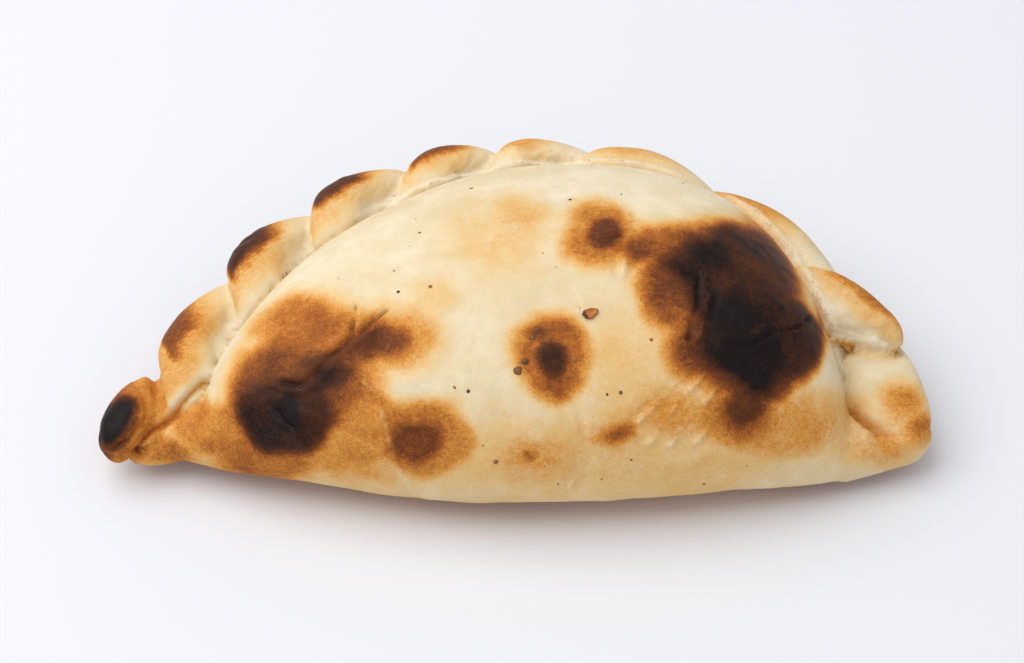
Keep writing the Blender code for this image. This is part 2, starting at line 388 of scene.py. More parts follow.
def rope_tree():
    """Geometry Nodes that wind a grid round the route: one spiral strip whose rows are the grooves."""
    tree = bpy.data.node_groups.new("rope_crimp", "GeometryNodeTree")
    face = tree.interface
    face.new_socket("Geometry", in_out="INPUT", socket_type="NodeSocketGeometry")
    for name in ("Crest Radius", "Groove Depth"):
        face.new_socket(name, in_out="INPUT", socket_type="NodeSocketFloat").subtype = "DISTANCE"
    for name in ("Flatness", "First Turn", "Last Turn", "First Skew", "Last Skew"):
        face.new_socket(name, in_out="INPUT", socket_type="NodeSocketFloat")
    for name in ("Folds", "Samples", "Sides"):
        face.new_socket(name, in_out="INPUT", socket_type="NodeSocketInt")
    face.new_socket("Dough", in_out="INPUT", socket_type="NodeSocketMaterial")
    face.new_socket("Geometry", in_out="OUTPUT", socket_type="NodeSocketGeometry")
    given = add_node(tree, "NodeGroupInput").outputs

    def calc(operation, *values):
        return add_node(tree, "ShaderNodeMath", dict(enumerate(values)), operation=operation)

    # The route, as a smooth curve
    wire = add_node(tree, "GeometryNodeMeshToCurve", {"Mesh": given["Geometry"]})
    wire = add_node(tree, "GeometryNodeCurveSplineType", {"Curve": wire}, spline_type="CATMULL_ROM")
    route = add_node(tree, "GeometryNodeSetSplineResolution", {"Geometry": wire, "Resolution": 30})
    length = add_node(tree, "GeometryNodeCurveLength", {"Curve": route})

    # A flat grid: its rows count folds and its columns go round the rope
    turns_in_all = calc("ADD", given["Folds"], 2.0)
    rows = calc("ADD", calc("MULTIPLY", turns_in_all, given["Samples"]), 1.0)
    columns = calc("ADD", given["Sides"], 1.0)
    grid = add_node(tree, "GeometryNodeMeshGrid", {
        "Size X": 1.0, "Size Y": 1.0, "Vertices X": rows, "Vertices Y": columns})
    uv = add_node(tree, "ShaderNodeSeparateXYZ", {"Vector": grid.outputs["UV Map"]}).outputs
    counted = calc("SUBTRACT", calc("MULTIPLY", uv["X"], turns_in_all), 1.0)
    half_turns = calc("MULTIPLY", uv["Y"], 2.0)

    # How far the grooves have moved on at this place round the rope
    place = add_node(tree, "ShaderNodeClamp", {
        "Value": calc("DIVIDE", calc("ADD", counted, 0.5), given["Folds"])})
    top_turn = add_node(tree, "ShaderNodeMix", {
        "Factor": place, "A": given["First Turn"], "B": given["Last Turn"]})
    over = calc("MULTIPLY", top_turn, half_turns)
    under_rate = calc("SUBTRACT", 1.0, top_turn)
    under = calc("ADD", top_turn, calc("MULTIPLY", under_rate, calc("SUBTRACT", half_turns, 1.0)))
    travel = add_node(tree, "ShaderNodeMix", {
        "Factor": calc("GREATER_THAN", half_turns, 1.0), "A": over, "B": under})
    phase = add_node(tree, "ShaderNodeClamp", {
        "Value": calc("ADD", counted, travel), "Min": 0.0, "Max": given["Folds"]})
    along = calc("DIVIDE", phase, given["Folds"])

    # Place and direction on the route
    starts = shape_curve(add_node(tree, "ShaderNodeFloatCurve", {"Value": along}),
                         [sum(FOLD_LENGTHS[:i]) for i in range(FOLDS + 1)])
    sample = add_node(tree, "GeometryNodeSampleCurve", {"Curves": route, "Factor": starts}, mode="FACTOR")
    tangent = sample.outputs["Tangent"]
    sideways = add_node(tree, "ShaderNodeVectorMath", {0: (0.0, 0.0, 1.0), 1: tangent},
                        operation="CROSS_PRODUCT")
    outward = add_node(tree, "ShaderNodeVectorMath", {0: sideways}, operation="NORMALIZE")
    upward = add_node(tree, "ShaderNodeVectorMath", {0: tangent, 1: outward}, operation="CROSS_PRODUCT")

    # The fold's bulge between two grooves, and the rope's rounded ends
    skew = add_node(tree, "ShaderNodeMix", {
        "Factor": along, "A": given["First Skew"], "B": given["Last Skew"]})
    leaning = calc("POWER", calc("FRACT", counted), skew)
    arch = calc("MAXIMUM", calc("SINE", calc("MULTIPLY", leaning, math.pi)), 0.0)
    hollow = calc("SUBTRACT", 1.0, calc("POWER", arch, 0.62))
    crests = shape_curve(add_node(tree, "ShaderNodeFloatCurve", {"Value": along}), CREST_AT_STARTS)
    depths = shape_curve(add_node(tree, "ShaderNodeFloatCurve", {"Value": along}), DEPTH_AT_STARTS)
    crest = calc("MULTIPLY", given["Crest Radius"], crests)
    depth = calc("MULTIPLY", given["Groove Depth"], depths)
    radius = calc("SUBTRACT", crest, calc("MULTIPLY", depth, hollow))
    from_end = calc("MULTIPLY", calc("MINIMUM", starts, calc("SUBTRACT", 1.0, starts)), length)
    fill = calc("MINIMUM", calc("DIVIDE", from_end, crest), 1.0)
    gap = calc("SUBTRACT", 1.0, fill)
    cap = calc("SQRT", calc("MAXIMUM", calc("SUBTRACT", 1.0, calc("MULTIPLY", gap, gap)), 0.0))
    radius = calc("MULTIPLY", radius, cap)

    # The point on the rope's skin
    angle = calc("MULTIPLY", half_turns, math.pi)
    side = calc("MULTIPLY", calc("MULTIPLY", calc("COSINE", angle), radius), -1.0)
    rise = calc("MULTIPLY", calc("MULTIPLY", calc("SINE", angle), radius), given["Flatness"])
    out_step = add_node(tree, "ShaderNodeVectorMath", {0: outward, "Scale": side}, operation="SCALE")
    up_step = add_node(tree, "ShaderNodeVectorMath", {0: upward, "Scale": rise}, operation="SCALE")
    step = add_node(tree, "ShaderNodeVectorMath", {0: out_step, 1: up_step}, operation="ADD")
    spot = add_node(tree, "ShaderNodeVectorMath", {0: sample.outputs["Position"], 1: step}, operation="ADD")

    shape = grid
    for name, value in (("counted", counted), ("half_turns", half_turns), ("phase", phase)):
        shape = add_node(tree, "GeometryNodeStoreNamedAttribute", {
            "Geometry": shape, "Name": name, "Value": value}, data_type="FLOAT", domain="POINT")
    shape = add_node(tree, "GeometryNodeSetPosition", {"Geometry": shape, "Position": spot})
    shape = add_node(tree, "GeometryNodeMergeByDistance", {"Geometry": shape, "Distance": 0.0005})
    shape = add_node(tree, "GeometryNodeRealizeInstances", {"Geometry": shape})
    shape = add_node(tree, "GeometryNodeSetMaterial", {"Geometry": shape, "Material": given["Dough"]})
    add_node(tree, "NodeGroupOutput", {"Geometry": shape})
    return tree


def run_tree(obj, tree, values):
    """Puts a node tree on an object, sets its inputs, and returns the plain mesh that it makes."""
    modifier = obj.modifiers.new(tree.name, "NODES")
    modifier.node_group = tree
    identifiers = {item.name: item.identifier for item in tree.interface.items_tree
                   if item.item_type == "SOCKET" and item.in_out == "INPUT"}
    for name, value in values.items():
        modifier[identifiers[name]] = value
    mesh = evaluated_mesh(obj)
    obj.modifiers.remove(modifier)
    return mesh


def rope_crimp(sizes, material):
    """The rope, with each point's place in its folds kept as attributes."""
    line = bpy.data.meshes.new("rope_route")
    line.from_pydata(ROPE_ROUTE, [(i, i + 1) for i in range(len(ROPE_ROUTE) - 1)], [])
    wire = mesh_object("rope_route", line)
    mesh = run_tree(wire, rope_tree(), {
        "Crest Radius": sizes.crest_radius / MM, "Groove Depth": sizes.groove_depth / MM,
        "Flatness": sizes.flatness, "First Turn": FIRST_TURN, "Last Turn": LAST_TURN,
        "First Skew": FIRST_SKEW, "Last Skew": LAST_SKEW,
        "Folds": FOLDS, "Samples": FOLD_SAMPLES, "Sides": ROPE_SIDES, "Dough": material})
    discard(wire)
    bm = bmesh.new()
    bm.from_mesh(mesh)
    bmesh.ops.recalc_face_normals(bm, faces=bm.faces)
    bm.to_mesh(mesh)
    bm.free()
    return mesh_object("rope_crimp", mesh)


# ---------------------------------------------------------------- the two tips

PILLOW_STEPS = 40
KNOB = ((-66.7, -16.9, 8.8), (5.5, 9.6, 5.8), math.radians(-22.0), 0.0, 2.0)
HEEL = ((-63.8, -20.3, 6.0), (8.5, 4.2, 3.4), 0.0, 0.0, 2.0)
FLAP = ((64.6, -10.8, 8.6), (9.2, 13.9, 5.3), math.radians(12.0), math.radians(5.0), 2.8)
CURL_ROUTE = (
    (-58.6, -5.0, 11.6), (-59.5, -9.5, 10.8), (-60.5, -14.0, 10.2), (-61.8, -17.6, 9.7),
    (-64.0, -21.0, 9.0), (-66.4, -23.6, 8.6), (-69.0, -24.6, 8.2), (-71.2, -23.4, 8.0),
)
CURL_RADII = (1.5, 3.0, 3.2, 2.8, 2.3, 1.8, 1.4, 0.6)
CURL_SIDES = 20


def pillow(name, centre, half_sizes, turn, tilt, power):
    """A pillow of dough: a superellipsoid, turned about the upright and tilted back to front."""
    bm = bmesh.new()
    bmesh.ops.create_uvsphere(bm, u_segments=2 * PILLOW_STEPS, v_segments=PILLOW_STEPS, radius=1.0)
    for vert in bm.verts:
        size = sum(abs(c) ** power for c in vert.co) ** (1.0 / power)
        vert.co = [c / size * half for c, half in zip(vert.co, half_sizes)]
    turned = Matrix.Rotation(turn, 4, "Z") @ Matrix.Rotation(tilt, 4, "X")
    bmesh.ops.transform(bm, matrix=Matrix.Translation(centre) @ turned, verts=bm.verts)
    return object_from(bm, name)


def smooth_route(route, steps):
    """Points on a smooth curve through the route."""
    route = np.array(route, dtype=float)
    route = np.vstack([2 * route[0] - route[1], route, 2 * route[-1] - route[-2]])
    points = []
    for a, b, c, d in zip(route, route[1:], route[2:], route[3:]):
        for t in np.arange(steps) / steps:
            bend = (c - a) * t + (2 * a - 5 * b + 4 * c - d) * t**2 + (3 * b - a - 3 * c + d) * t**3
            points.append(b + 0.5 * bend)
    points.append(route[-2])
    return np.array(points)


def curled_tail():
    """The first fold's thin tail, which curls round the knob at the left tip."""
    steps = 8
    points = smooth_route(CURL_ROUTE, steps)
    radii = np.interp(np.arange(len(points)) / steps, range(len(CURL_RADII)), CURL_RADII)
    tangents = np.gradient(points, axis=0)
    bm = bmesh.new()
    rings = []
    for point, tangent, radius in zip(points, tangents, radii):
        ahead = Vector(tangent).normalized()
        side = ahead.cross((0.0, 0.0, 1.0)).normalized()
        top = side.cross(ahead)
        ring = []
        for i in range(CURL_SIDES):
            angle = 2.0 * math.pi * i / CURL_SIDES
            outward = side * math.cos(angle) + top * math.sin(angle)
            ring.append(bm.verts.new(Vector(point) + outward * radius))
        rings.append(ring)
    for near, far in zip(rings, rings[1:]):
        for i in range(CURL_SIDES):
            j = (i + 1) % CURL_SIDES
            bm.faces.new((near[i], near[j], far[j], far[i]))
    bm.faces.new(rings[0])
    bm.faces.new(reversed(rings[-1]))
    return object_from(bm, "curled_tail")


# ---------------------------------------------------------------- what the oven did

# Scorched patches, as x, slope, half width, half slope, turn in degrees, strength, and softness: the
# share of the way from rim to middle over which the browning builds up. The slope is Y + Z, which
# runs from the front of the belly over the dome to the crimp.
SCORCHES = (
    (-38, -7, 8, 9, 0, 0.92, 0.95),  # the left burn, and the rust above it
    (-38.5, -7.5, 12, 12.5, 0, 0.79, 0.45),
    (-38, -3, 15, 19, 0, 0.56, 0.50),
    (-31, 2, 10, 5, 35, 0.74, 0.70),
    (-36, 15, 13, 10, 20, 0.42, 0.60),
    (-33, 6, 16, 21, 0, 0.42, 0.50),
    (-31, 3, 13, 13, 0, 0.60, 0.80),
    (-28, 8, 16, 7.5, 40, 0.64, 0.80),
    (-21.5, 12, 8, 9.5, 0, 0.60, 0.80),  # the dent and its halo
    (-20, 13, 13, 13, 0, 0.30, 0.80),
    (-25, -6, 10, 11, 0, 0.38, 0.60),
    (-52, -10, 12, 10, 0, 0.36, 0.60),  # amber towards the left tip
    (-61, -17, 10, 6, 0, 0.42, 0.80),
    (-42, -17, 16, 9, 0, 0.40, 0.60),
    (-27, -19, 17, 8, 0, 0.28, 0.80),
    (-28, -14, 12, 11, 0, 0.32, 0.60),
    (-15, -11.5, 10.5, 14, 0, 0.42, 0.50),  # the round burn right of it
    (-15.8, -12, 7.6, 9.5, 0, 0.64, 0.65),
    (7, 8.7, 9.3, 14.5, 0, 0.44, 0.45),  # the middle burn
    (7, 7.5, 6, 8.5, 0, 0.78, 0.75),
    (8, 2, 6, 6.5, 0, 0.50, 0.80),
    (4.5, 14, 5.5, 6, 0, 0.52, 0.90),
    (17.3, -10.5, 7.5, 4.2, 48, 0.54, 0.90),  # the streak
    (18, -9.5, 12, 8, 48, 0.24, 0.80),
    (4, -15.5, 3, 3.8, 0, 0.45, 0.90),  # the small spot low in the middle
    (4.5, -15.2, 11, 7.5, 0, 0.26, 0.70),
    (15.8, 38.8, 6.5, 7.5, 0, 0.63, 0.65),  # the burn by the crimp
    (15.5, 38.5, 10, 12, 0, 0.40, 0.55),
    (23, 35.5, 7, 9, 0, 0.56, 0.80),
    (30, 33, 10, 13, 0, 0.56, 0.70),
    (28, 24, 9, 15, 0, 0.52, 0.65),
    (39, 27, 15.5, 19, 0, 0.78, 0.50),  # the big right burn
    (32, 31, 8, 11, -35, 0.72, 0.60),
    (38, 14, 13, 21, 0, 0.82, 0.70),
    (41.5, 7, 13, 15, 0, 0.92, 0.80),
    (48, 12, 8.7, 14, 0, 0.80, 0.50),
    (31, 12, 9, 15, 0, 0.56, 0.75),
    (40, -3, 8.5, 13, 0, 0.68, 0.90),
    (39, -5, 12, 13, 0, 0.40, 0.70),
    (48, -8, 17, 14, 0, 0.27, 0.60),  # amber towards the right tip
    (57, -9, 9, 12, 0, 0.20, 0.70),
    (64, -15, 13, 8, 0, 0.24, 0.80),
    (27, -5, 12, 14, 40, 0.28, 0.80),
    (68.5, -4, 8, 10, 0, 0.34, 0.90),
    (72, -11, 7, 8, 0, 0.38, 0.90),
    (0.5, 42, 11, 10, 0, 0.20, 0.90),  # faint blushes
    (-2, 38, 17, 14, 0, 0.12, 0.80),
    (20, 4, 16, 24, 0, 0.13, 0.80),
    (-14, 24, 9, 7, 0, 0.10, 0.80),
    # a wide band low on the front: partly real browning, and partly painted shade on the lower front of the
    # belly
    (5, -17, 75, 21, 0, 0.19, 0.95),
)
KNOB_SCORCHES = (
    (-69.6, -7.2, 4.8, 10.5, -26, 1.0, 0.60), (-70.6, -9.6, 7.4, 13.0, -26, 0.66, 0.50),
    (-68.5, -8.0, 14.0, 20.0, 0, 0.43, 0.30),
)
TAIL_SCORCHES = ((-69.0, -16.5, 6.0, 4.5, 0, 0.50, 0.80), (-64.0, -8.0, 16.0, 20.0, 0, 0.26, 0.30))
BACK_SCORCHES = (  # the same on the far slope, where the second number is Z - Y
    (-14, 2, 12, 9, 10, 0.50, 0.80), (-14, 2, 6, 5, 10, 0.74, 0.80), (-40, 6, 11, 8, 0, 0.40, 0.90),
    (28, 2, 14, 10, -15, 0.48, 0.70), (30, 0, 8, 6, -15, 0.80, 0.80), (48, 14, 8, 10, 0, 0.44, 0.80),
    (8, 8, 8, 6, 0, 0.30, 0.90),
)
BASE_SCORCHES = (  # and underneath, where it is Y
    (-30, -8, 24, 18, 0, 0.48, 0.80), (2, -12, 22, 16, 0, 0.58, 0.80), (34, -6, 22, 20, 0, 0.56, 0.80),
    (10, 12, 26, 13, 0, 0.42, 0.80), (50, -20, 11, 9, 0, 0.70, 0.80), (-12, 2, 9, 7, 0, 0.76, 0.80),
    (24, -18, 9, 7, 0, 0.80, 0.80),
)
# How brown each fold's crest is, from the left tip to the right, and the blush round it
CREST_SCORCH = (0.60, 0.62, 0.80, 0.76, 0.62, 0.34, 0.30, 0.36, 0.44)
CREST_BLUSH = (0.30, 0.32, 0.26, 0.26, 0.22, 0.16, 0.16, 0.18, 0.24)
# How far up each fold the blush starts: folds counted from the left tip, and shares of a half turn
BLUSH_START = ((0.0, 1.0, 2.5, 7.0, 8.0), (0.20, 0.23, 0.22, 0.24, 0.22))

# Relief, as x, slope, half width, half slope, and height
SWELLS = (
    (-22.2, 11.0, 3.4, 5.0, -0.9), (-26.0, 15.5, 2.2, 4.5, 0.7), (-16.5, 4.0, 2.0, 2.6, 0.55),
    (-30.0, 2.0, 5.0, 5.0, -0.4), (-40.5, 1.5, 3.0, 3.0, -0.5), (-36.0, -9.0, 4.0, 3.5, 0.5),
    (16.5, 34.0, 3.2, 6.0, 0.6), (22.5, 36.0, 2.0, 7.0, -0.6), (33.5, 20.0, 3.0, 8.0, -0.7),
    (29.0, 22.0, 3.0, 8.0, 0.5), (45.0, 18.0, 4.0, 6.0, 0.4), (41.0, 8.0, 5.0, 5.0, -0.5),
    (6.0, 6.0, 3.5, 4.0, 0.3), (-14.5, -10.0, 3.0, 5.0, -0.35), (13.0, -22.0, 3.0, 5.0, -0.4),
    (-18.5, -20.0, 3.0, 6.0, -0.35), (2.0, 24.0, 6.0, 6.0, 0.25), (-8.0, 10.0, 4.0, 6.0, -0.25),
)
DARK_CRACKS = (  # polylines over x and slope
    ((-27.0, 20.4), (-27.2, 12.7), (-30.8, 8.8), (-32.5, 5.2), (-35.4, 0.9), (-40.4, 1.8)),
    ((-41.0, -3.3), (-39.1, -7.1), (-36.2, -10.0), (-33.2, -15.1)),
    ((-21.8, 19.4), (-24.0, 16.5), (-25.9, 12.9)),
    ((36.3, 11.5), (40.5, 11.0), (44.5, 13.4), (47.8, 14.6), (50.8, 16.6)),
    ((31.5, 31.0), (32.4, 27.0), (31.9, 21.0), (29.8, 12.7)),
    ((13.5, 37.5), (17.2, 36.8), (19.4, 38.0)),
)
PALE_CREASES = (
    ((20.6, 43.5), (20.2, 38.0), (19.3, 33.0), (18.7, 27.5)),
    ((8.6, 3.0), (9.1, -0.9), (9.9, -5.9), (11.6, -12.6), (12.4, -15.6), (11.1, -20.8), (9.3, -25.5)),
    ((-25.0, 2.0), (-23.2, -0.9), (-20.5, -14.2), (-19.3, -19.9), (-16.7, -25.6)),
    ((32.5, 4.0), (28.0, -3.0), (23.0, -13.0)), ((34.5, 0.5), (30.5, -6.0), (26.5, -13.5)),
    ((29.5, 4.5), (25.5, -1.5), (21.5, -8.0)), ((36.5, -4.0), (33.0, -9.5), (30.0, -14.5)),
    ((33.4, 30.0), (34.0, 24.5), (33.0, 17.0), (31.0, 12.0)),
)
# The body's lip over the flap at the right tip: the flap drops away beside this line
LIP = (
    (58.0, 17.0), (58.5, 12.0), (58.5, 6.8), (57.8, -3.1), (58.4, -6.6), (59.9, -8.0), (63.0, -10.5),
    (65.5, -12.6),
)
LIP_DROP, LIP_RISE = 3.0, 0.8
# The groove that coils round the knob at the left tip
COIL = ((-66.5, 1.5), (-64.3, -1.0), (-63.9, -5.0), (-64.4, -8.8), (-66.3, -12.6), (-69.5, -15.0))
# And the groove between the first fold's tail and the body, which is also darkened along its line with
# painted shade
TAIL_GROOVE = ((-54.2, 1.5), (-59.1, -6.0), (-62.5, -9.8), (-64.3, -15.0), (-66.0, -18.5))
FAR_AWAY = 9.0  # distances to cracks are kept up to this


def patches(across, along, table):
    """How scorched each point is by a table of patches: the strongest wins, softly."""
    total = np.zeros(len(across))
    for x, slope, width, depth, turn, strength, softness in table:
        cos, sin = math.cos(math.radians(turn)), math.sin(math.radians(turn))
        u = ((across - x) * cos + (along - slope) * sin) / width
        v = ((along - slope) * cos - (across - x) * sin) / depth
        total += (strength * smooth((1.0 - np.sqrt(u * u + v * v)) / softness)) ** 6
    return total ** (1.0 / 6.0)


def distance_to_lines(across, along, lines):
    """Distance from each point to the nearest of some polylines."""
    nearest = np.full(len(across), FAR_AWAY)
    spots = np.stack([across, along], axis=1)
    for line in lines:
        for start, end in zip(np.array(line), np.array(line)[1:]):
            run = end - start
            share = np.clip((spots - start) @ run / (run @ run), 0.0, 1.0)
            gap = np.linalg.norm(spots - start - share[:, None] * run, axis=1)
            nearest = np.minimum(nearest, gap)
    return nearest


def side_of_line(across, along, line):
    """+1 on the right of a polyline, looking from its first point to its last, and -1 on its left."""
    spots = np.stack([across, along], axis=1)
    nearest, side = np.full(len(across), 1e9), np.zeros(len(across))
    for start, end in zip(np.array(line), np.array(line)[1:]):
        run = end - start
        share = np.clip((spots - start) @ run / (run @ run), 0.0, 1.0)
        away = spots - start - share[:, None] * run
        gap = np.linalg.norm(away, axis=1)
        turn = run[0] * (spots[:, 1] - start[1]) - run[1] * (spots[:, 0] - start[0])
        side = np.where(gap < nearest, -np.sign(turn), side)
        nearest = np.minimum(nearest, gap)
    return side


def gaps_to(pieces, points, reach):
    """Distance from each point to each piece's surface, up to a reach."""
    gaps = []
    for piece in pieces:
        tree = faces_tree(piece)
        found = (tree.find_nearest(Vector(point), reach)[3] for point in points)
        gaps.append(np.array([reach if gap is None else gap for gap in found]))
    return np.array(gaps)


def rope_places(rope, points):
    """For each point, the nearest rope point's count of folds, half turns and phase."""
    mesh = rope.data
    tree = KDTree(len(mesh.vertices))
    for i, vert in enumerate(mesh.vertices):
        tree.insert(vert.co, i)
    tree.balance()
    nearest = np.array([tree.find(Vector(point))[1] for point in points])
    places = []
    for name in ("counted", "half_turns", "phase"):
        values = np.empty(len(mesh.vertices), dtype=np.float32)
        mesh.attributes[name].data.foreach_get("value", values)
        places.append(values[nearest].astype(float))
    return places


def fuse(pieces, voxel):
    """Joins closed pieces of dough into one skin of even faces, and rubs out the grid's steps."""
    mesh = bpy.data.meshes.new("baked_crust")
    bm = bmesh.new()
    for piece in pieces:
        bm.from_mesh(piece.data)
    bm.to_mesh(mesh)
    bm.free()
    crust = mesh_object("baked_crust", mesh)
    rebuild = crust.modifiers.new("fuse", "REMESH")
    rebuild.mode = "VOXEL"
    rebuild.voxel_size = voxel
    rub = crust.modifiers.new("rub", "SMOOTH")
    rub.factor = 0.5
    rub.iterations = 2
    crust.data = evaluated_mesh(crust)
    crust.modifiers.clear()
    for layer in [a for a in crust.data.attributes if a.name in ("counted", "half_turns", "phase")]:
        crust.data.attributes.remove(layer)
    return crust


def shape_and_bake(crust, pieces, relief):
    """Gives the fused dough its dents, creases and torn edges, and records how baked each point is, with
    painted shade added in its creases.
    """
    points, normals = points_of(crust.data), normals_of(crust.data)
    rope = pieces[1]
    gaps = gaps_to(pieces, points, 3.0)
    gaps[0] = np.minimum(gaps[0], gaps[5])  # the heel belongs to the body
    gaps = gaps[:5]
    nearest_two = np.sort(gaps, axis=0)[:2]
    crevice = 1.0 - smooth(nearest_two[1] / 1.1)
    owner = np.argmin(gaps, axis=0)
    counted, half_turns, phase = rope_places(rope, points)
    fold_share = counted - np.floor(counted)

    x, y, z = points.T
    slope = y + z
    # The flap and the wedge under it are one skin at the right tip
    crevice *= 1.0 - smooth((x - 63.0) / 4.0) * smooth((3.0 - slope) / 4.0)
    facing = normals @ np.array([0.0, -math.sqrt(0.5), math.sqrt(0.5)])
    seen = smooth((facing + 0.25) / 0.3)
    below = smooth((-normals[:, 2] - 0.45) / 0.4)
    warp_x = x + 1.3 * layered_noise(points, 9.0, 1) + 0.25 * soft_noise(points, 1.6, 5)
    warp_s = slope + 1.7 * layered_noise(points, 9.0, 7) + 0.3 * soft_noise(points, 1.6, 8)

    # Browning of the body and the flap
    front = patches(warp_x, warp_s, SCORCHES)
    front *= 1.0 + 0.10 * layered_noise(points, 5.0, 25)
    back = patches(warp_x, warp_s - 2.0 * y, BACK_SCORCHES)
    base = patches(warp_x, warp_s - z, BASE_SCORCHES)
    blush = 0.06 + 0.04 * layered_noise(points, 14.0, 21)
    body_bake = mix(mix(back, front, seen), np.maximum(base, 0.3), below) + blush

    # Browning of the crimp: dark on the outer side of each fold's crest, pale in its tail and at the seam
    rise = half_turns + 0.05 * layered_noise(points, 5.0, 12) - np.interp(counted, *BLUSH_START)
    spread = 1.0 - 0.5 * smooth((half_turns - 1.1) / 0.3)
    crest = smooth((fold_share - 0.12 * (counted < 1.0)) / 0.12) * (1.0 - smooth((fold_share - 0.42) / 0.50))
    scorch = np.interp(np.floor(counted) + 1.0, range(FOLDS + 1), CREST_SCORCH)
    blushed = np.interp(np.floor(counted) + 1.0, range(FOLDS + 1), CREST_BLUSH)
    rope_bake = scorch * smooth((rise - 0.16) / 0.24) * spread * crest
    halo = blushed * smooth(rise / 0.26) * (1.0 - 0.7 * smooth((fold_share - 0.6) / 0.35))
    rope_bake = np.maximum(rope_bake, halo) + 0.01 + 0.03 * soft_noise(points, 6.0, 14)
    rope_bake = np.maximum(rope_bake, 0.42 * below)
    knob_bake = patches(warp_x, warp_s, KNOB_SCORCHES) + 0.05 * soft_noise(points, 3.0, 17)
    knob_bake = mix(0.45, knob_bake, seen)
    tail_bake = patches(warp_x, warp_s, TAIL_SCORCHES) + 0.04 * soft_noise(points, 3.0, 18)
    shares = np.exp(-gaps / 0.35)
    shares /= shares.sum(axis=0)
    bakes = (body_bake, rope_bake, knob_bake, body_bake, tail_bake)
    bake_and_shade = sum(share * level for share, level in zip(shares, bakes))
    tail_groove = distance_to_lines(x, slope, (TAIL_GROOVE,))
    # Painted shade: a dark line along the groove between the first fold's tail and the body, on the faces
    # toward the camera
    bake_and_shade += 0.30 * seen * bell(tail_groove, 0.5) * (1.0 - smooth((bake_and_shade - 0.4) / 0.3))
    # Painted shade: the pale dough is browned a little in the creases where the parts meet, standing in for
    # the shade that falls there
    bake_and_shade = np.clip(bake_and_shade + 0.18 * crevice * (1.0 - smooth((bake_and_shade - 0.2) / 0.3)), 0.0, 1.05)

    # Relief
    height = 0.30 * soft_noise(points, 15.0, 31) + 0.14 * soft_noise(points, 5.5, 33)
    height += 0.05 * soft_noise(points, 2.2, 35)
    charred = smooth((bake_and_shade - 0.55) / 0.3)
    height += charred * (0.16 * soft_noise(points, 1.9, 41) - 0.12 * np.abs(soft_noise(points, 3.4, 43)))
    on_front = seen * (owner == 0)
    for sx, ss, width, depth, lift in SWELLS:
        height += lift * on_front * bell(warp_x - sx, width) * bell(warp_s - ss, depth)
    line_x, line_s = x + 0.5 * soft_noise(points, 3.0, 51), slope + 0.5 * soft_noise(points, 3.0, 52)
    crack_gap = mix(FAR_AWAY, distance_to_lines(line_x, line_s, DARK_CRACKS), on_front)
    crease_gap = mix(FAR_AWAY, distance_to_lines(line_x, line_s, PALE_CREASES), on_front)
    crack_gap += 0.45 * smooth(0.5 + soft_noise(points, 2.2, 55))
    crease_gap += 0.55 * smooth(0.4 + 1.4 * soft_noise(points, 2.6, 56))
    height -= 0.75 * bell(crack_gap, 0.7) - 0.25 * bell(crack_gap - 1.4, 0.7)
    height += 0.30 * bell(crease_gap, 0.65) - 0.22 * bell(crease_gap - 1.3, 0.7)

    # The lip and the flap's hollow at the right tip, and the two grooves at the left one
    lip_gap = distance_to_lines(line_x, line_s, (LIP,))
    flap_side = side_of_line(line_x, line_s, LIP) < 0
    lip_here = seen * smooth((x - 50.0) / 4.0) * smooth((slope + 15.5) / 4.0) * (owner != 1)
    height -= lip_here * flap_side * LIP_DROP * np.exp(-lip_gap / 2.0)
    height -= 2.0 * (owner == 3) * seen * np.exp(-gaps[1] / 1.3)
    height += lip_here * ~flap_side * LIP_RISE * np.exp(-lip_gap / 1.6)
    coil_gap = distance_to_lines(line_x, line_s, (COIL,))
    height -= 0.9 * (x < -61.0) * seen * bell(coil_gap, 0.6)
    height -= 1.5 * seen * bell(tail_groove, 0.8)

    # The seam: a sunk line, and on the later folds a torn lip beside it
    rag = soft_noise(points, 1.5, 61)
    torn_folds = smooth((phase - 2.6) / 0.8) * (owner == 1) * smooth((half_turns - 0.02) / 0.06)
    torn_folds *= smooth((normals[:, 2] - 0.1) / 0.3) * smooth((0.62 - half_turns) / 0.1)
    seam_gap = gaps[0] + 0.5 * rag
    torn = torn_folds * bell(seam_gap - 1.5, 0.65)
    height += 0.75 * torn * (0.7 + 0.6 * rag)
    height -= 0.5 * torn_folds * bell(seam_gap - 2.7, 0.5)
    height -= 1.25 * crevice
    hollow = (owner == 1) * smooth((fold_share - 0.45) / 0.3) * (1.0 - smooth((half_turns - 0.35) / 0.2))
    height -= 1.5 * hollow * (1.0 - smooth((fold_share - 0.92) / 0.08))
    rest = smooth((z - 0.3) / 1.2)
    moved = points + normals * (height * relief * rest)[:, None]
    moved[:, 2] = np.maximum(moved[:, 2], 0.0)
    crust.data.vertices.foreach_set("co", moved.ravel())

    # The baked level also carries the painted shade in the creases and along the tail's groove
    float_attribute(crust.data, "baked", bake_and_shade)
    float_attribute(crust.data, "crack_gap", crack_gap)
    float_attribute(crust.data, "crease_gap", crease_gap)
    float_attribute(crust.data, "torn", np.maximum(torn, 0.6 * crevice * torn_folds))
    pale = (1.0 - smooth((bake_and_shade - 0.2) / 0.25)) * (owner == 0) * (0.25 + 0.75 * seen) * (1.0 - below)
    float_attribute(crust.data, "speck_chance", np.maximum(pale, 0.1 * (1.0 - below)))


# ---------------------------------------------------------------- finishes


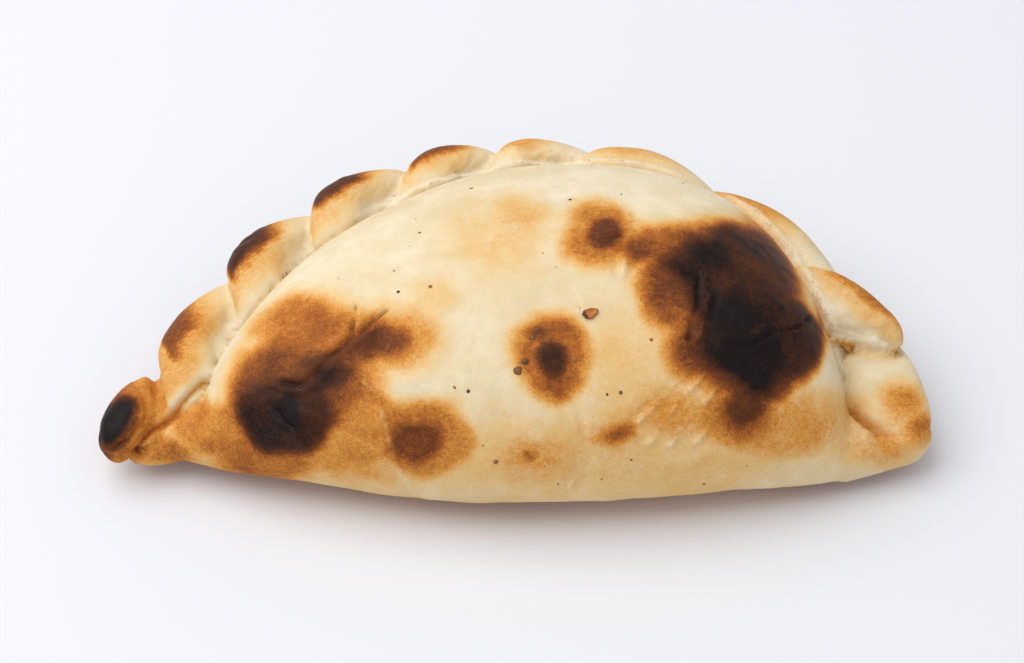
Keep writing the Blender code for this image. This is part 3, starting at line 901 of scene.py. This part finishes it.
def baked_wheat_dough(colours):
    """Baked wheat dough: matt and floury where pale, and a little glossier where the sugars burnt.

    The colour follows how baked each point is, with painted shade in the creases and along the tail's
    groove, broken up by the dough's grain: blotches of 4.5 mm, bubbles of about a millimetre and flour
    grains of a third of one. Light goes a little way into the crumb, which softens the pale parts.
    """
    material = bpy.data.materials.new("baked_wheat_dough")
    material.use_nodes = True
    tree = material.node_tree
    shader = tree.nodes["Principled BSDF"]
    where = add_node(tree, "ShaderNodeTexCoord").outputs["Object"]

    def calc(operation, *values):
        return add_node(tree, "ShaderNodeMath", dict(enumerate(values)), operation=operation)

    def attribute(name):
        return add_node(tree, "ShaderNodeAttribute", attribute_name=name).outputs["Fac"]

    def grain(size_mm, detail, rough=0.5):
        noise = add_node(tree, "ShaderNodeTexNoise", {
            "Vector": where, "Scale": 1.0 / (size_mm * MM), "Detail": detail, "Roughness": rough})
        return noise.outputs["Fac"]

    def ramp(value, stops):
        node = add_node(tree, "ShaderNodeValToRGB", {"Fac": value})
        elements = node.color_ramp.elements
        while len(elements) < len(stops):
            elements.new(0.5)
        for element, (position, colour) in zip(elements, stops):
            element.position = position
            element.color = colour
        return node

    def ripples(noise, strength):
        return calc("MULTIPLY", calc("SUBTRACT", noise, 0.5), strength)

    baked = attribute("baked")
    blotch, bubble, fine = grain(4.5, 3.0), grain(1.1, 3.0, 0.6), grain(0.35, 2.0)
    busy = add_node(tree, "ShaderNodeMapRange", {
        "Value": baked, "From Min": 0.08, "From Max": 0.35, "To Min": 0.22, "To Max": 1.0})
    ripple = calc("ADD", ripples(blotch, 0.13), ripples(bubble, 0.20))
    ripple = calc("ADD", ripple, ripples(fine, 0.24))
    level = calc("ADD", baked, calc("MULTIPLY", ripple, busy))
    stops = (
        (0.0, mixed(colours.cream, linear("#F6EDDC"), 0.5)), (0.07, colours.cream),
        (0.20, colours.golden), (0.36, colours.amber), (0.50, colours.rust), (0.65, colours.brown),
        (0.80, mixed(colours.brown, colours.char, 0.6)), (0.97, colours.char))
    colour = ramp(level, stops)

    # Flour and slight unevenness in the pale dough
    flour = add_node(tree, "ShaderNodeMapRange", {
        "Value": grain(7.0, 4.0, 0.6), "From Min": 0.42, "From Max": 0.68})
    paleness = add_node(tree, "ShaderNodeMapRange", {
        "Value": level, "From Min": 0.35, "From Max": 0.05})
    floured = add_node(tree, "ShaderNodeMix", {
        "Factor": calc("MULTIPLY", calc("MULTIPLY", flour, paleness), 0.45),
        "A": colour, "B": linear("#F4E8CC")}, data_type="RGBA")
    # Torn edges show the paler crumb; cracks are burnt darker and stretched creases lighter
    torn = add_node(tree, "ShaderNodeMix", {
        "Factor": calc("MULTIPLY", attribute("torn"), 0.55), "A": floured.outputs["Result"],
        "B": linear("#F1E3C6")}, data_type="RGBA")
    pits = add_node(tree, "ShaderNodeMapRange", {
        "Value": calc("MULTIPLY", attribute("torn"), bubble), "From Min": 0.42, "From Max": 0.60,
        "To Min": 0.0, "To Max": 0.55})
    torn = add_node(tree, "ShaderNodeMix", {
        "Factor": pits, "A": torn.outputs["Result"], "B": linear("#B08A5A")}, data_type="RGBA")
    crack = add_node(tree, "ShaderNodeMapRange", {
        "Value": attribute("crack_gap"), "From Min": 0.10, "From Max": 0.65, "To Min": 0.65, "To Max": 0.0})
    cracked = add_node(tree, "ShaderNodeMix", {
        "Factor": crack, "A": torn.outputs["Result"], "B": linear("#1B100E")}, data_type="RGBA")
    crease = add_node(tree, "ShaderNodeMapRange", {
        "Value": attribute("crease_gap"), "From Min": 0.10, "From Max": 0.60, "To Min": 0.38, "To Max": 0.0})
    stretched = ramp(calc("SUBTRACT", level, 0.22), stops)
    creased = add_node(tree, "ShaderNodeMix", {
        "Factor": crease, "A": cracked.outputs["Result"], "B": stretched}, data_type="RGBA")
    tree.links.new(creased.outputs["Result"], shader.inputs["Base Color"])

    roughness = add_node(tree, "ShaderNodeMapRange", {
        "Value": calc("ADD", level, ripples(bubble, 0.3)),
        "From Min": 0.2, "From Max": 0.95, "To Min": 0.72, "To Max": 0.50})
    tree.links.new(roughness.outputs["Result"], shader.inputs["Roughness"])

    blister = add_node(tree, "ShaderNodeTexVoronoi", {
        "Vector": where, "Scale": 1.0 / (1.9 * MM), "Randomness": 1.0}, feature="SMOOTH_F1")
    scorched = add_node(tree, "ShaderNodeMapRange", {
        "Value": level, "From Min": 0.35, "From Max": 0.8, "To Min": 0.0, "To Max": 0.5})
    skin = calc("ADD", calc("MULTIPLY", fine, 0.20), calc("MULTIPLY", bubble, 0.55))
    skin = calc("ADD", skin, calc("MULTIPLY", blotch, 0.5))
    skin = calc("SUBTRACT", skin, calc("MULTIPLY", blister.outputs["Distance"], scorched))
    skin = calc("SUBTRACT", skin, calc("MULTIPLY", crack, 0.9))
    skin = calc("ADD", skin, calc("MULTIPLY", crease, 0.8))
    bump = add_node(tree, "ShaderNodeBump", {
        "Strength": 0.8, "Distance": 0.22 * MM, "Height": skin})
    tree.links.new(bump.outputs["Normal"], shader.inputs["Normal"])
    shader.inputs["IOR"].default_value = 1.45
    shader.inputs["Specular IOR Level"].default_value = 0.18
    shader.inputs["Subsurface Weight"].default_value = 0.12
    shader.inputs["Subsurface Radius"].default_value = (1.0, 0.5, 0.22)
    shader.inputs["Subsurface Scale"].default_value = 1.6 * MM
    return material


def mixed(a, b, share):
    return tuple(mix(p, q, share) for p, q in zip(a, b))


def burnt_crumb():
    """Burnt flour and crumbs: dry and dark, from almost black to toasted brown."""
    material = bpy.data.materials.new("burnt_crumb")
    material.use_nodes = True
    tree = material.node_tree
    shader = tree.nodes["Principled BSDF"]
    where = add_node(tree, "ShaderNodeTexCoord").outputs["Object"]
    tint = add_node(tree, "ShaderNodeTexNoise", {
        "Vector": where, "Scale": 1.0 / (6.0 * MM), "Detail": 1.0})
    colour = add_node(tree, "ShaderNodeMix", {
        "Factor": add_node(tree, "ShaderNodeMapRange", {
            "Value": tint.outputs["Fac"], "From Min": 0.42, "From Max": 0.62}),
        "A": linear("#3A1E10"), "B": linear("#96602F")}, data_type="RGBA")
    tree.links.new(colour.outputs["Result"], shader.inputs["Base Color"])
    shader.inputs["Roughness"].default_value = 0.6
    return material


def dried_chilli():
    """Dried chilli skin: glossy and orange, and burnt dark towards its rim and one end."""
    material = bpy.data.materials.new("dried_chilli")
    material.use_nodes = True
    tree = material.node_tree
    shader = tree.nodes["Principled BSDF"]
    rim = add_node(tree, "ShaderNodeAttribute", attribute_name="rim").outputs["Fac"]
    where = add_node(tree, "ShaderNodeTexCoord").outputs["Object"]
    streak = add_node(tree, "ShaderNodeTexNoise", {
        "Vector": where, "Scale": 1.0 / (0.5 * MM), "Detail": 2.0})
    uneven = add_node(tree, "ShaderNodeMath", {0: streak.outputs["Fac"], 1: 0.5}, operation="SUBTRACT")
    burnt = add_node(tree, "ShaderNodeMath", {0: rim, 1: uneven}, operation="ADD")
    ramp = add_node(tree, "ShaderNodeValToRGB", {"Fac": burnt})
    for element, (position, colour) in zip(ramp.color_ramp.elements, ((0.30, "#B9681A"), (0.95, "#43190C"))):
        element.position = position
        element.color = linear(colour)
    tree.links.new(ramp.outputs["Color"], shader.inputs["Base Color"])
    shader.inputs["Roughness"].default_value = 0.35
    return material


def plain_table(colour):
    """A matt, pale painted table top, which keeps the shadows soft and adds no reflection."""
    material = bpy.data.materials.new("plain_table")
    material.use_nodes = True
    shader = material.node_tree.nodes["Principled BSDF"]
    shader.inputs["Base Color"].default_value = colour
    shader.inputs["Roughness"].default_value = 0.9
    shader.inputs["Specular IOR Level"].default_value = 0.1
    return material


# ---------------------------------------------------------------- operators


def seat_in_frame(objects, offset):
    """Moves drawn pieces to their place in the frame, in metres."""
    place = Matrix.Scale(MM, 4) @ Matrix.Translation(offset)
    for obj in objects:
        obj.data.transform(place)


def frame_offset(pieces):
    """The step that puts the drawing's box on the CAD crust's box."""
    drawn = np.vstack([points_of(piece.data) for piece in pieces])
    middle = (drawn.min(axis=0) + drawn.max(axis=0)) / 2.0
    target = (np.array(CRUST_LOW) + np.array(CRUST_HIGH)) / 2.0 / MM
    return (target[0] - middle[0], target[1] - middle[1], CRUST_LOW[2] / MM - drawn[:, 2].min())


class EMPANADA_OT_crust(bpy.types.Operator):
    """Fold, crimp and bake the dough"""
    bl_idname = "empanada.crust"
    bl_label = "Crust"

    def execute(self, context):
        scene = context.scene
        dough = baked_wheat_dough(scene.empanada_bake)
        body = filled_body(scene.empanada_body)
        rope = rope_crimp(scene.empanada_crimp, dough)
        knob, flap, heel = pillow("knob", *KNOB), pillow("flap", *FLAP), pillow("heel", *HEEL)
        pieces = [body, rope, knob, flap, curled_tail(), heel]
        offset = frame_offset([body, rope, knob, flap, heel])
        crust = fuse(pieces, scene.empanada_body.voxel / MM)
        if not crust.data.polygons:
            raise RuntimeError("the dough did not join into one skin")
        shape_and_bake(crust, pieces, scene.empanada_body.relief)
        discard(*pieces)
        seat_in_frame([crust], offset)
        scene["empanada_offset"] = offset
        crust.data.materials.clear()
        crust.data.materials.append(dough)
        crust.data.shade_smooth()
        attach(crust, "root")
        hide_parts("crust")
        return {"FINISHED"}


def speck_tree():
    """Geometry Nodes that scatter flattened burnt specks where the dough's chance attribute allows."""
    tree = bpy.data.node_groups.new("burnt_specks", "GeometryNodeTree")
    face = tree.interface
    face.new_socket("Geometry", in_out="INPUT", socket_type="NodeSocketGeometry")
    for name in ("Specks Per Area", "Largest Radius"):
        face.new_socket(name, in_out="INPUT", socket_type="NodeSocketFloat")
    face.new_socket("Seed", in_out="INPUT", socket_type="NodeSocketInt")
    face.new_socket("Crumb", in_out="INPUT", socket_type="NodeSocketMaterial")
    face.new_socket("Geometry", in_out="OUTPUT", socket_type="NodeSocketGeometry")
    given = add_node(tree, "NodeGroupInput").outputs
    chance = add_node(tree, "GeometryNodeInputNamedAttribute", {"Name": "speck_chance"}, data_type="FLOAT")
    density = add_node(tree, "ShaderNodeMath", {
        0: chance, 1: given["Specks Per Area"]}, operation="MULTIPLY")
    scatter = add_node(tree, "GeometryNodeDistributePointsOnFaces", {
        "Mesh": given["Geometry"], "Density": density, "Seed": given["Seed"]})
    speck = add_node(tree, "GeometryNodeMeshIcoSphere", {"Radius": 1.0, "Subdivisions": 1})
    draw = add_node(tree, "FunctionNodeRandomValue", {
        "Min": 0.0, "Max": 1.0, "Seed": given["Seed"]}, data_type="FLOAT")
    small = add_node(tree, "ShaderNodeMath", {0: draw.outputs[1], 1: 3.0}, operation="POWER")
    share = add_node(tree, "ShaderNodeMath", {0: small, 1: 0.65, 2: 0.35}, operation="MULTIPLY_ADD")
    size = add_node(tree, "ShaderNodeMath", {0: share, 1: given["Largest Radius"]}, operation="MULTIPLY")
    long_side = add_node(tree, "ShaderNodeMath", {0: size, 1: 1.5}, operation="MULTIPLY")
    thin_side = add_node(tree, "ShaderNodeMath", {0: size, 1: 0.4}, operation="MULTIPLY")
    scale = add_node(tree, "ShaderNodeCombineXYZ", {"X": long_side, "Y": size, "Z": thin_side})
    spin = add_node(tree, "FunctionNodeRandomValue", {
        "Min": 0.0, "Max": 2.0 * math.pi, "Seed": given["Seed"]}, data_type="FLOAT")
    spun = add_node(tree, "ShaderNodeCombineXYZ", {"Z": spin.outputs[1]})
    turn = add_node(tree, "FunctionNodeRotateRotation", {
        "Rotation": scatter.outputs["Rotation"], "Rotate By": spun}, rotation_space="LOCAL")
    put = add_node(tree, "GeometryNodeInstanceOnPoints", {
        "Points": scatter.outputs["Points"], "Instance": speck, "Rotation": turn, "Scale": scale})
    real = add_node(tree, "GeometryNodeRealizeInstances", {"Geometry": put})
    done = add_node(tree, "GeometryNodeSetMaterial", {"Geometry": real, "Material": given["Crumb"]})
    add_node(tree, "NodeGroupOutput", {"Geometry": done})
    return tree


# Larger burnt crumbs, as x, slope and radius in millimetres
CRUMBS = (
    (1.0, 4.8, 0.75), (2.1, 6.8, 0.62), (3.4, 12.6, 0.45), (4.4, 14.0, 0.4), (2.9, 10.8, 0.32),
    (4.9, 11.6, 0.3), (-14.0, 24.8, 0.38), (-7.4, -0.2, 0.34), (-2.7, -17.2, 0.42), (18.3, -0.6, 0.36),
    (10.3, 47.0, 0.3), (10.6, 7.4, 0.42), (9.4, 3.1, 0.35), (-19.5, 23.6, 0.34), (23.5, 12.0, 0.28),
)


def made_crust(scene):
    """The crust that the first step makes, with a search tree of its faces."""
    crust = scene.objects.get("baked_crust")
    if crust is None:
        raise RuntimeError("make the crust first")
    return crust, faces_tree(crust)


def surface_point(tree, x, slope, offset):
    """The point of the dough that lies at an x and a slope, looking down at 45 degrees from the front."""
    look = Vector((0.0, math.sqrt(0.5), -math.sqrt(0.5)))
    target = Vector((x + offset[0], offset[1], slope + offset[2])) * MM
    place, normal, _, _ = tree.ray_cast(target - look * 0.2, look)
    if place is None:
        raise RuntimeError(f"no dough at x {x} and slope {slope}")
    return place, normal


class EMPANADA_OT_specks(bpy.types.Operator):
    """Scatter burnt specks and crumbs over the pale dough"""
    bl_idname = "empanada.specks"
    bl_label = "Burnt specks"

    def execute(self, context):
        topping = context.scene.empanada_topping
        crust, tree = made_crust(context.scene)
        crumb = burnt_crumb()
        host = mesh_object("speck_host", crust.data.copy())
        specks = run_tree(host, speck_tree(), {
            "Specks Per Area": topping.specks_per_area, "Largest Radius": topping.speck_radius,
            "Seed": topping.seed, "Crumb": crumb})
        discard(host)
        if not specks.polygons:
            raise RuntimeError("no speck landed on the dough")
        bm = bmesh.new()
        bm.from_mesh(specks)
        for i, (x, slope, radius) in enumerate(CRUMBS):
            place, normal = surface_point(tree, x, slope, context.scene["empanada_offset"])
            lump = bmesh.ops.create_icosphere(bm, subdivisions=2, radius=radius * MM)["verts"]
            wobble = soft_noise(np.array([v.co[:] for v in lump]) / MM, 0.6, 70 + i)
            for vert, swell in zip(lump, wobble):
                vert.co *= 1.0 + 0.35 * swell
                vert.co.z *= 0.5
            turn = normal.to_track_quat("Z", "Y").to_matrix().to_4x4()
            bmesh.ops.transform(bm, matrix=Matrix.Translation(place) @ turn, verts=lump)
        bm.to_mesh(specks)
        bm.free()
        piece = mesh_object("burnt_specks", specks)
        specks.materials.clear()
        specks.materials.append(crumb)
        specks.shade_smooth()
        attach(piece, "root")
        return {"FINISHED"}


FLAKE_SPOT = (13.2, 18.2)  # x and slope
FLAKE_RINGS, FLAKE_SPOKES = 5, 20
FLAKE_TURN = math.radians(14.0)


class EMPANADA_OT_flake(bpy.types.Operator):
    """Lay a burnt-rimmed chilli flake on the dough"""
    bl_idname = "empanada.flake"
    bl_label = "Chilli flake"

    def execute(self, context):
        tree = made_crust(context.scene)[1]
        place, normal = surface_point(tree, *FLAKE_SPOT, context.scene["empanada_offset"])
        half = context.scene.empanada_topping.flake_length / 2.0
        bm = bmesh.new()
        rim = bm.verts.layers.float.new("rim")
        rings = []
        for ring in range(1, FLAKE_RINGS + 1):
            share = ring / FLAKE_RINGS
            loop = []
            for spoke in range(FLAKE_SPOKES):
                angle = 2.0 * math.pi * spoke / FLAKE_SPOKES
                ragged = 1.0 + 0.10 * math.sin(3 * angle + 1.0) + 0.07 * math.sin(7 * angle)
                reach = half * share * ragged
                cup = half * (0.10 + 0.22 * share**4)
                vert = bm.verts.new((reach * math.cos(angle), 0.62 * reach * math.sin(angle), cup))
                vert[rim] = max(0.55 * share**4, smooth((-math.cos(angle) * share - 0.1) / 0.7))
                loop.append(vert)
            rings.append(loop)
        hub = bm.verts.new((0.0, 0.0, half * 0.10))
        for spoke in range(FLAKE_SPOKES):
            after = (spoke + 1) % FLAKE_SPOKES
            bm.faces.new((hub, rings[0][spoke], rings[0][after]))
            for inner, outer in zip(rings, rings[1:]):
                bm.faces.new((inner[spoke], outer[spoke], outer[after], inner[after]))
        turn = normal.to_track_quat("Z", "Y").to_matrix().to_4x4() @ Matrix.Rotation(FLAKE_TURN, 4, "Z")
        bmesh.ops.transform(bm, matrix=Matrix.Translation(place) @ turn, verts=bm.verts)
        piece = object_from(bm, "chilli_flake")
        thick = piece.modifiers.new("thick", "SOLIDIFY")
        thick.thickness = 0.25 * MM
        thick.offset = 0.0
        mesh = evaluated_mesh(piece)
        piece.modifiers.clear()
        piece.data = mesh
        mesh.materials.append(dried_chilli())
        mesh.shade_smooth()
        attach(piece, "root")
        return {"FINISHED"}


LOOK_AT = (0.0, -1.0, 15.0)


class EMPANADA_OT_stage(bpy.types.Operator):
    """Set out a plain pale floor, soft light and the camera"""
    bl_idname = "empanada.stage"
    bl_label = "Stage"

    def execute(self, context):
        scene, sizes = context.scene, context.scene.empanada_stage
        if "empanada_offset" not in scene:
            raise RuntimeError("make the crust first, because the camera looks at it")
        bm = bmesh.new()
        bmesh.ops.create_grid(bm, x_segments=1, y_segments=1, size=4.0)
        floor = object_from(bm, "floor")
        floor.data.materials.append(plain_table(sizes.floor_colour))

        world = bpy.data.worlds.new("studio")
        world.use_nodes = True
        sky = world.node_tree.nodes["Background"]
        sky.inputs["Color"].default_value = linear("#F4F7FF")
        sky.inputs["Strength"].default_value = 0.62
        scene.world = world
        # Each light's name, place, size and power: a broad key above on the left, and a weak fill in front
        for name, place, size, power in (
            ("key", (-0.44, 0.02, 0.82), 0.95, 7.2),
            ("fill", (0.25, -0.60, 0.75), 1.00, 0.7),
        ):
            light = bpy.data.lights.new(name, "AREA")
            light.size = size
            light.energy = power
            lamp = bpy.data.objects.new(name, light)
            lamp.location = place
            lamp.rotation_euler = (-Vector(place)).to_track_quat("-Z", "Y").to_euler()
            scene.collection.objects.link(lamp)

        camera = bpy.data.cameras.new("camera")
        camera.lens = sizes.lens
        distance = sizes.view_width * sizes.lens / camera.sensor_width
        target = (Vector(LOOK_AT) + Vector(scene["empanada_offset"])) * MM
        eye = bpy.data.objects.new("camera", camera)
        back = Vector((0.0, -math.cos(sizes.elevation), math.sin(sizes.elevation)))
        eye.location = target + back * distance
        eye.rotation_euler = (math.pi / 2.0 - sizes.elevation, 0.0, 0.0)
        scene.collection.objects.link(eye)
        scene.camera = eye
        scene.view_settings.view_transform = "Standard"
        return {"FINISHED"}


class EMPANADA_PT_panel(bpy.types.Panel):
    """Lists the empanada's settings and steps"""
    bl_idname = "EMPANADA_PT_panel"
    bl_label = "Empanada"
    bl_space_type = "VIEW_3D"
    bl_region_type = "UI"
    bl_category = "Empanada"

    def draw(self, context):
        for name, group in SETTINGS.items():
            box = self.layout.box()
            for prop in group.__annotations__:
                box.prop(getattr(context.scene, name), prop)
        for step in OPERATORS:
            self.layout.operator(step.bl_idname)


OPERATORS = (EMPANADA_OT_crust, EMPANADA_OT_specks, EMPANADA_OT_flake, EMPANADA_OT_stage)
CLASSES = tuple(SETTINGS.values()) + OPERATORS + (EMPANADA_PT_panel,)


def register():
    for cls in CLASSES:
        bpy.utils.register_class(cls)
    for name, group in SETTINGS.items():
        setattr(bpy.types.Scene, name, PointerProperty(type=group))


def unregister():
    for name in SETTINGS:
        delattr(bpy.types.Scene, name)
    for cls in reversed(CLASSES):
        bpy.utils.unregister_class(cls)


def main():
    register()
    bpy.ops.empanada.crust()
    bpy.ops.empanada.specks()
    bpy.ops.empanada.flake()
    bpy.ops.empanada.stage()


if __name__ == "__main__":
    main()
